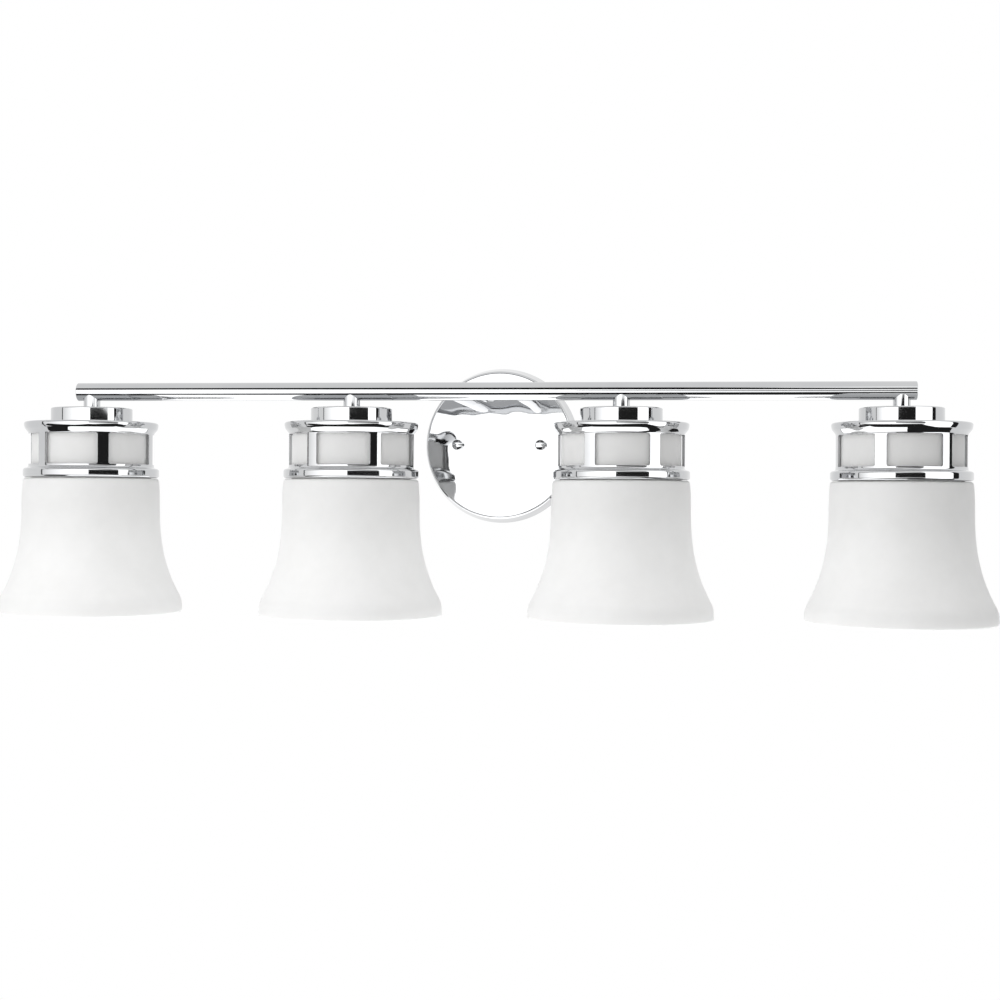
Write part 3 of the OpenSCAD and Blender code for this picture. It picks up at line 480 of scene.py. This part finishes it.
bell = {"holeRadius": 21.05, "top": -28.4, "under": -32.4, "neckRadius": 49.3, "glass": 3.5, "shoulder": -73.8,
        "edge": 1.5, "shoulderEdge": 2.6, "shoulderIn": 1.1, "bellRadius": 57.4, "mouthRadius": 76.57,
        "height": 114.2, "curveStart": 4, "flareStart": 21.2, "flarePower": 2.55, "turnHeight": 9.6,
        "lipHeight": 5.4, "segments": 144}


def bellRadius(depth):
    # Almost straight to the flare's start (it begins a little in and eases out with the square of what is
    # left), then a power curve of the depth, then upright again over the turn's height as the slope falls
    # evenly to nothing. The two parts share the mouth's spread so that they meet.
    spread = bell["mouthRadius"] - bell["bellRadius"]
    flareEnd = bell["height"] - bell["lipHeight"] - bell["turnHeight"]
    length = flareEnd - bell["flareStart"]
    flare = spread / (1 + bell["flarePower"] * bell["turnHeight"] / (2 * length))
    slope = bell["flarePower"] * flare / length
    run = np.clip((depth - bell["flareStart"]) / length, 0, 1)
    turn = np.clip((depth - flareEnd) / bell["turnHeight"], 0, 1)
    left = np.clip(1 - depth / bell["flareStart"], 0, 1)
    return (bell["bellRadius"] - bell["shoulderIn"] * left ** 2 + flare * run ** bell["flarePower"]
            + slope * bell["turnHeight"] * (turn - turn ** 2 / 2))


depths = np.concatenate([np.linspace(bell["curveStart"], bell["flareStart"], 9)[:-1],
                         np.linspace(bell["flareStart"], bell["height"] - bell["lipHeight"], 49)])
outside = [(bellRadius(d), bell["shoulder"] - d, None) for d in depths]
rimZ = bell["shoulder"] - bell["height"]
rimRound = bell["glass"] / 2 - 0.01  # a sliver under half, so that the two rounds don't overlap
shadeShape = profile(
    [(bell["holeRadius"], bell["under"], 0.8), (bell["neckRadius"] - bell["glass"], bell["under"], 2),
     (bell["neckRadius"] - bell["glass"], bell["shoulder"] - bell["glass"], 1.5),
     (bellRadius(0) - bell["glass"], bell["shoulder"] - bell["glass"], 0.3)]
    + [(r - bell["glass"], z, None) for r, z, _ in outside]
    + [(bell["mouthRadius"] - bell["glass"], rimZ, rimRound), (bell["mouthRadius"], rimZ, rimRound)]
    + outside[::-1]
    + [(bellRadius(0), bell["shoulder"], bell["shoulderEdge"]), (bell["neckRadius"], bell["shoulder"], 0.4),
       (bell["neckRadius"], bell["top"], bell["edge"]), (bell["holeRadius"], bell["top"], 0.8)])
for i in lampNumbers:
    makePiece(f"glassBell_{i}", [placed(revolve(shadeShape, bell["segments"]), lampCentres[i])], etched,
              [f"glass_shade_{i}"], f"shade_{i}")
print("glass shades made")


# ---- lampholders, shade rings and bulbs; heights are measured from the bar's axis ----

holder = {"radius": 19.05, "top": -28.3, "low": -71.8, "edge": 0.8, "hole": 5, "chamberRadius": 10.5,
          "chamberTop": -32.3, "chamberLow": -36.3, "socketRadius": 14.2, "socketTop": -39, "threadLow": -60,
          "pitch": 2, "threadDepth": 0.5}
holderShape = profile(
    [(0, holder["socketTop"], 0), (holder["socketRadius"], holder["socketTop"], 0.8),
     (holder["socketRadius"], holder["low"], 0.6), (holder["radius"], holder["low"], holder["edge"])]
    + wall(holder["radius"], holder["threadLow"], holder["top"], 0.25)
    + [(holder["radius"], holder["top"], 0), (holder["hole"], holder["top"], 0),
       (holder["hole"], holder["chamberTop"], 0), (holder["chamberRadius"], holder["chamberTop"], 0.5),
       (holder["chamberRadius"], holder["chamberLow"], 0.5), (0, holder["chamberLow"], 0)], closed=False)
holderThread = screwThread(holder["radius"], holder["pitch"], holder["threadDepth"], holder["threadLow"],
                           holder["top"])

ring = {"top": -32.5, "height": 7, "flange": 2, "flangeRadius": 27, "gripRadius": 22.5, "bore": 19.25,
        "notches": 12, "notchDepth": 0.8, "notchHalf": 5, "segments": 288}
ringLow, flangeLow = ring["top"] - ring["height"], ring["top"] - ring["flange"]
ringShape = profile([(ring["bore"], ringLow, 0.3), (ring["gripRadius"], ringLow, 0.5),
                     (ring["gripRadius"], flangeLow, 0), (ring["flangeRadius"], flangeLow, 0.6),
                     (ring["flangeRadius"], ring["top"], 0.6), (ring["bore"], ring["top"], 0.3)])


def ringNotches(angle, radius, height):
    # round hollows in the grip: depth times half of one plus a cosine that ends at the notch's half angle
    spacing = 2 * np.pi / ring["notches"]
    away = np.abs((angle + spacing / 2) % spacing - spacing / 2) / math.radians(ring["notchHalf"])
    inGrip = (radius > ring["gripRadius"] - 1) & (radius < ring["gripRadius"] + 0.5)
    return -ring["notchDepth"] * inGrip * (1 + np.cos(np.pi * np.minimum(away, 1))) / 2


bulb = {"tip": -41.5, "solderRadius": 4.2, "solderLow": -43, "solderTaper": 0.8, "glassLand": 0.6, "glassRadius": 8.4,
        "glassTop": -42.8, "glassLow": -45.8, "glassSeat": 0.5, "glassSpread": 0.2, "capLand": 0.6,
        "capRadius": 13.1, "capTop": -46.2, "capShoulder": -48.9, "capLow": -67, "plainFoot": 1, "pitch": 3.63,
        "threadDepth": 0.8, "threadLow": -65, "threadTop": -47.9, "neckRadius": 13.3, "ballRadius": 30,
        "ballZ": -121.5, "ease": 0.9, "glass": 1, "endSegments": 48}
solderShape = profile([(0, bulb["solderLow"], 0), (bulb["solderRadius"], bulb["solderLow"], 0.2),
                       (bulb["solderRadius"] - bulb["solderTaper"], bulb["tip"], 0.9),
                       (0, bulb["tip"], 0)], closed=False)
glassFoot = bulb["capTop"] - bulb["glassSeat"]
capGlassShape = profile([(0, glassFoot, 0), (bulb["glassRadius"] + bulb["glassSpread"], glassFoot, 0),
                         (bulb["glassRadius"], bulb["glassLow"], 0.5),
                         (bulb["solderRadius"] + bulb["glassLand"], bulb["glassTop"], 0.8),
                         (0, bulb["glassTop"], 0)], closed=False)
capShape = profile([(0, bulb["capLow"], 0), (bulb["capRadius"], bulb["capLow"], 0.3)]
                   + wall(bulb["capRadius"], bulb["capLow"] + bulb["plainFoot"], bulb["capShoulder"], 0.4)
                   + [(bulb["capRadius"], bulb["capShoulder"], 1.2),
                      (bulb["glassRadius"] + bulb["capLand"], bulb["capTop"], 0.6), (0, bulb["capTop"], 0)],
                   closed=False)
capThread = screwThread(bulb["capRadius"], bulb["pitch"], bulb["threadDepth"], bulb["threadLow"],
                        bulb["threadTop"])
# The bulb's neck widens to its ball by half a cosine of the way down, which is first raised to the ease power;
# the ball is a half sphere, and the inner wall is the same shape one glass thickness in.
way = np.linspace(0, 1, 49)
neckR = bulb["neckRadius"] + (bulb["ballRadius"] - bulb["neckRadius"]) * (1 - np.cos(np.pi * way ** bulb["ease"])) / 2
neckZ = bulb["capLow"] + (bulb["ballZ"] - bulb["capLow"]) * way
ballTurn = np.radians(np.linspace(0, 90, 33)[1:])
bulbR = np.concatenate([neckR, bulb["ballRadius"] * np.cos(ballTurn)])
bulbZ = np.concatenate([neckZ, bulb["ballZ"] - bulb["ballRadius"] * np.sin(ballTurn)])
inR = np.concatenate([neckR - bulb["glass"], (bulb["ballRadius"] - bulb["glass"]) * np.cos(ballTurn)])
inZ = np.concatenate([neckZ, bulb["ballZ"] - (bulb["ballRadius"] - bulb["glass"]) * np.sin(ballTurn)])
bulbShape = profile([(r, z, None) for r, z in zip(bulbR[::-1], bulbZ[::-1])]
                    + [(r, z, None) for r, z in zip(inR, inZ)], closed=False)
for i in lampNumbers:
    makePiece(f"holderBody_{i}", [placed(shifted(revolve(holderShape), holderThread), lampCentres[i])], porcelain,
              [f"lampholder_{i}"], "fixture")
    makePiece(f"shadeRing_{i}", [placed(shifted(revolve(ringShape, ring["segments"]), ringNotches), lampCentres[i])],
              zinc, [f"shade_ring_{i}"], f"ring_{i}")
    makePiece(f"bulbCap_{i}", [placed(shifted(revolve(capShape), capThread), lampCentres[i])], capMetal,
              [f"bulb_base_{i}"], f"lamp_bulb_{i}")
    for name, shape, finish in (("capGlass", capGlassShape, blackGlass), ("capSolder", solderShape, solder)):
        makePiece(f"{name}_{i}", [placed(revolve(shape, bulb["endSegments"]), lampCentres[i])], finish,
                  [f"bulb_base_{i}"], f"lamp_bulb_{i}")
    makePiece(f"bulbGlass_{i}", [placed(revolve(bulbShape), lampCentres[i])], bulbGlass, [f"bulb_{i}"],
              f"lamp_bulb_{i}")
print("lampholders, shade rings and bulbs made")


# ---- threaded rods and wire connectors ----

rods = {"studPitch": 0.8, "studDepth": 0.3, "nipplePitch": 0.94, "nippleDepth": 0.35, "nippleBore": 3.5,
        "edge": 0.2, "plainEnd": 0.3, "rowsPerPitch": 8, "segments": 32}


def threadedRods(name, node, pitch, depth, bore=None):
    # one rod out from the wall at each end of the node's box, hollow if it has a bore
    low, high = boxOf(node)
    radius, length = (high - low)[2] / 2, (high - low)[1]
    edge, plainEnd = rods["edge"], rods["plainEnd"]
    walls = ([(radius, 0, edge)] + wall(radius, plainEnd, length - plainEnd, pitch / rods["rowsPerPitch"])
             + [(radius, length, edge)])
    if bore is None:
        shape = profile([(0, 0, 0)] + walls + [(0, length, 0)], closed=False)
    else:
        shape = profile([(bore, 0, edge)] + walls + [(bore, length, edge)])
    grid = shifted(revolve(shape, rods["segments"]), screwThread(radius, pitch, depth, 0, length))
    makePiece(name, [placed(grid, np.array([x, high[1], (low[2] + high[2]) / 2]), outOfWall)
                     for x in (low[0] + radius, high[0] - radius)], zinc, [node], "fixture")


threadedRods("threadedStuds", "box_studs", rods["studPitch"], rods["studDepth"])
threadedRods("armNipplePair", "arm_nipples", rods["nipplePitch"], rods["nippleDepth"], rods["nippleBore"])

connector = {"tipRadius": 4.5, "radius": 7, "length": 20, "mouth": 5.4, "mouthTaper": 0.6, "mouthDepth": 4,
             "bore": 1.15, "boreStart": 7, "hole": 10, "coneStart": 0.12, "coneEnd": 0.94, "ribs": 16,
             "ribDepth": 0.4, "ribRise": 0.15, "ribEnd": 0.9, "ribFall": 0.1, "ribSkin": 0.6, "segments": 128,
             "wireRadius": 1}
connectorShape = profile([(0, -connector["length"], 0), (connector["tipRadius"], -connector["length"], 1.5)]
                         + [(connector["tipRadius"] + (connector["radius"] - connector["tipRadius"]) * t,
                             -connector["length"] * (1 - t), None)
                            for t in np.linspace(connector["coneStart"], connector["coneEnd"], 24)]
                         + [(connector["radius"], 0, 0.5), (connector["mouth"], 0, 0.4),
                            (connector["mouth"] - connector["mouthTaper"], -connector["mouthDepth"], 0.4),
                            (connector["bore"], -connector["boreStart"], 0.3),
                            (connector["bore"], -connector["hole"], 0), (0, -connector["hole"], 0)], closed=False)


def connectorRibs(angle, radius, height):
    # grip ribs: hollows between them follow a cosine round the cone and fade out towards both ends
    run = 1 + height / connector["length"]
    cone = connector["tipRadius"] + (connector["radius"] - connector["tipRadius"]) * run
    fadeIn = np.clip((run - connector["coneStart"]) / connector["ribRise"], 0, 1)
    fadeOut = np.clip((connector["ribEnd"] - run) / connector["ribFall"], 0, 1)
    dip = (1 - np.cos(connector["ribs"] * angle)) / 2
    return -connector["ribDepth"] * fadeIn * fadeOut * (radius > cone - connector["ribSkin"]) * dip


low, high = boxOf("wire_connectors")
connectorGrid = shifted(revolve(connectorShape, connector["segments"]), connectorRibs)
connectorPlaces = [np.array([x, boxOf(lead)[1][1] - connector["wireRadius"], high[2]])
                   for x, lead in ((low[0] + connector["radius"], "wire_black"),
                                   (high[0] - connector["radius"], "wire_white"))]
makePiece("connectorPair", [placed(connectorGrid, at) for at in connectorPlaces], orangePlastic, ["wire_connectors"],
          "fixture")
print("rods and wire connectors made")


# ---- remaining nodes keep their shapes and get their finishes ----

finishes = {"mounting_strap": zinc, "stud_lock_nuts": zinc, "ground_screw": greenSteel, "arm_washers": zinc,
            "arm_lock_nuts": zinc, "lamp_nipples": zinc, "wire_black": blackLead, "wire_white": whiteLead,
            "wire_ground": copper}
for i in lampNumbers:
    finishes |= {f"screw_shell_{i}": brass, f"centre_contact_{i}": brass}
for node, finish in finishes.items():
    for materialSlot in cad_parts[node].material_slots:
        materialSlot.material = finish
print("frame nodes finished")


# ---- studio ----

studio = {"worldDiffuse": 0.4, "leftShine": (1.05, 2.2), "leftLight": 1.3, "rightShine": 2.2, "rightLight": 0.3,
          "gapShine": (2.2, 1.1), "tableShine": 2.0, "overheadLight": 1.3, "bounceLight": 1.45,
          "floorZ": -1.05, "floorHalf": 2.5, "floorBack": 1.6, "paperFade": (0.8, 1.5), "paperWhite": 0.85,
          "cardZ": (-400, 710), "rightCardZ": (-350, 450), "tableZ": -426, "darkZ": -430, "overheadZ": 950,
          "bounceZ": -950, "flagDistance": 500, "blackCard": 0.02}


def seenDirectly(tree):
    # 1 for rays from the camera and for those that metal and glass send on, 0 for rays that only carry light
    rays = addNode(tree, "ShaderNodeLightPath").outputs
    seen = addNode(tree, "ShaderNodeMath", {0: rays["Is Camera Ray"], 1: rays["Is Glossy Ray"]}, operation="MAXIMUM")
    return addNode(tree, "ShaderNodeMath", {0: seen.outputs[0], 1: rays["Is Transmission Ray"]},
                   operation="MAXIMUM").outputs[0]


world = bpy.data.worlds.new("studioRoom")
bpy.context.scene.world = world
world.use_nodes = True
tree = world.node_tree
roomLight = addNode(tree, "ShaderNodeMapRange", {"Value": seenDirectly(tree), "To Min": studio["worldDiffuse"]})
tree.nodes["Background"].inputs["Color"].default_value = (1, 1, 1, 1)
tree.links.new(roomLight.outputs["Result"], tree.nodes["Background"].inputs["Strength"])


def card(name, corners, shine, light=0, seenBy=("glossy",), reach=1):
    # A flat card or softbox: polished metal sees it at its shine, and other surfaces get its light. A pair of
    # shines runs from the card's left end to its right over the given reach of its width.
    mesh = bpy.data.meshes.new(name)
    mesh.from_pydata([tuple(np.array(corner) * mm) for corner in corners], [], [tuple(range(len(corners)))])
    piece = bpy.data.objects.new(name, mesh)
    bpy.context.scene.collection.objects.link(piece)
    material = bpy.data.materials.new(name)
    material.use_nodes = True
    tree = material.node_tree
    place = addNode(tree, "ShaderNodeTexCoord").outputs["Generated"]
    across = addNode(tree, "ShaderNodeSeparateXYZ", {"Vector": place})
    first, last = np.broadcast_to(shine, 2)
    seen = addNode(tree, "ShaderNodeMapRange", {"Value": across.outputs["X"], "From Max": reach,
                                                "To Min": first, "To Max": last})
    glossy = addNode(tree, "ShaderNodeLightPath").outputs["Is Glossy Ray"]
    strength = addNode(tree, "ShaderNodeMapRange", {"Value": glossy, "To Min": light, "To Max": seen.outputs["Result"]})
    emission = addNode(tree, "ShaderNodeEmission", {"Strength": strength.outputs["Result"]})
    tree.links.new(emission.outputs["Emission"], tree.nodes["Material Output"].inputs["Surface"])
    mesh.materials.append(material)
    piece.visible_camera = False
    for kind in ("glossy", "diffuse", "transmission", "shadow"):
        setattr(piece, f"visible_{kind}", kind in seenBy)


def standing(a, b, lowZ, highZ):
    # corners of an upright card over the floor line from a to b; heights may differ at the two ends
    low, high = np.broadcast_to(lowZ, 2), np.broadcast_to(highZ, 2)
    return [(*a, low[0]), (*b, low[1]), (*b, high[1]), (*a, high[0])]


def level(places, z):
    return [(*place, z) for place in places]


def overBar(places, lowAngles, highAngles):
    # outline of a long card beside the bar: at each place along the bar it runs between two angles above the
    # bar's horizon, and a point lies at the distance times the cosine in front and times the sine up
    distance = studio["flagDistance"]
    along, across = np.array([*places, *places[::-1]]), np.radians([*lowAngles, *highAngles[::-1]])
    return barMiddle + np.stack([along, -distance * np.cos(across), distance * np.sin(across)], 1)


lamp, black = ("glossy", "diffuse", "transmission", "shadow"), studio["blackCard"]
# seen from above, the upright cards stand end to end in front of the light, from left to right
leftEnd, farCorner, gapEnd, rightEnd = (-1194, -489), (-7, -1333), (575, -561), (1200, -278)
card("leftSoftbox", standing(leftEnd, farCorner, *studio["cardZ"]), studio["leftShine"], studio["leftLight"], lamp, 0.6)
card("rightSoftbox", standing(gapEnd, rightEnd, *studio["rightCardZ"]), studio["rightShine"], studio["rightLight"],
     lamp)
card("brightGap", standing(farCorner, gapEnd, *studio["cardZ"]), studio["gapShine"])
card("gapFlag", standing((-7, -1325), (575, -553), -30, (100, 70)), black)
card("rightFlag", standing(rightEnd, (1215, -80), *studio["rightCardZ"]), black)
card("leftFlag", standing((-1215, -445), leftEnd, *studio["cardZ"]), black)
card("upperFlag", overBar((-1600, -420, 150, 350, 1600), (25, 25, 15, 16, 16), (46, 46, 42, 32, 31)), black)
card("lowerFlag", overBar((-1600, -420, 350, 1600), (-42, -42, -55, -58), (-22, -26, -20, -20)), black)
card("brightTable", level([(-515, -664), (368, -664), (368, 565), (-515, 565)], studio["tableZ"]),
     studio["tableShine"])
card("darkFloor", level([(-1250, -450), farCorner, gapEnd, rightEnd, (1000, -80), (720, 60), (650, 600), (-650, 600),
                         (-750, -76), (-900, -330)], studio["darkZ"]), black)
card("overhead", level([(-1000, -1100), (1000, -1100), (1000, 100), (-1000, 100)], studio["overheadZ"]), 0,
     studio["overheadLight"], ("diffuse", "transmission", "shadow"))
card("floorBounce", level([(-1600, -1150), (1600, -1150), (1600, 1340), (-1600, 1340)], studio["bounceZ"]), 1,
     studio["bounceLight"], ("glossy", "diffuse", "transmission"))

floorMesh = bpy.data.meshes.new("floor")
half, back, floorZ = studio["floorHalf"], studio["floorBack"], studio["floorZ"]
floorMesh.from_pydata([(-half, -half, floorZ), (half, -half, floorZ), (half, back, floorZ), (-half, back, floorZ)],
                      [], [(0, 1, 2, 3)])
floor = bpy.data.objects.new("floor", floorMesh)
bpy.context.scene.collection.objects.link(floor)
paper = bpy.data.materials.new("whiteStudioPaper")
paper.use_nodes = True
tree = paper.node_tree
tree.nodes["Principled BSDF"].inputs["Base Color"].default_value = linear("#f4f4f4")
tree.nodes["Principled BSDF"].inputs["Roughness"].default_value = 0.9
# towards its edges the paper turns wholly white, so that it has no visible border
away = addNode(tree, "ShaderNodeVectorMath", {0: addNode(tree, "ShaderNodeTexCoord").outputs["Object"],
                                              1: (0, 0, studio["floorZ"])}, operation="DISTANCE")
plain = addNode(tree, "ShaderNodeMapRange", {"Value": away.outputs["Value"], "From Min": studio["paperFade"][0],
                                             "From Max": studio["paperFade"][1], "To Min": studio["paperWhite"]})
share = addNode(tree, "ShaderNodeMath", {0: seenDirectly(tree), 1: plain.outputs["Result"]}, operation="MULTIPLY")
glow = addNode(tree, "ShaderNodeEmission", {"Strength": 1})
mix = addNode(tree, "ShaderNodeMixShader", {0: share.outputs[0]})
tree.links.new(tree.nodes["Principled BSDF"].outputs[0], mix.inputs[1])
tree.links.new(glow.outputs[0], mix.inputs[2])
tree.links.new(mix.outputs[0], tree.nodes["Material Output"].inputs["Surface"])
floorMesh.materials.append(paper)

bpy.context.scene.view_settings.view_transform = "Standard"

view = {"lens": 58.77, "sensor": 36, "place": (0.1682, -1.4738, -0.0491), "turn": 6.58, "roll": 0.337}
lens = bpy.data.cameras.new("studioCamera")
lens.lens, lens.sensor_width = view["lens"], view["sensor"]
camera = bpy.data.objects.new("studioCamera", lens)
camera.location = view["place"]
# level and facing the wall, then turned about the upright and rolled a little about its own axis
camera.rotation_euler = (Euler((0, 0, math.radians(view["turn"]))).to_matrix()
                         @ Euler((math.pi / 2, 0, 0)).to_matrix()
                         @ Euler((0, 0, math.radians(view["roll"]))).to_matrix()).to_euler()
bpy.context.scene.collection.objects.link(camera)
bpy.context.scene.camera = camera
print("studio and camera made")
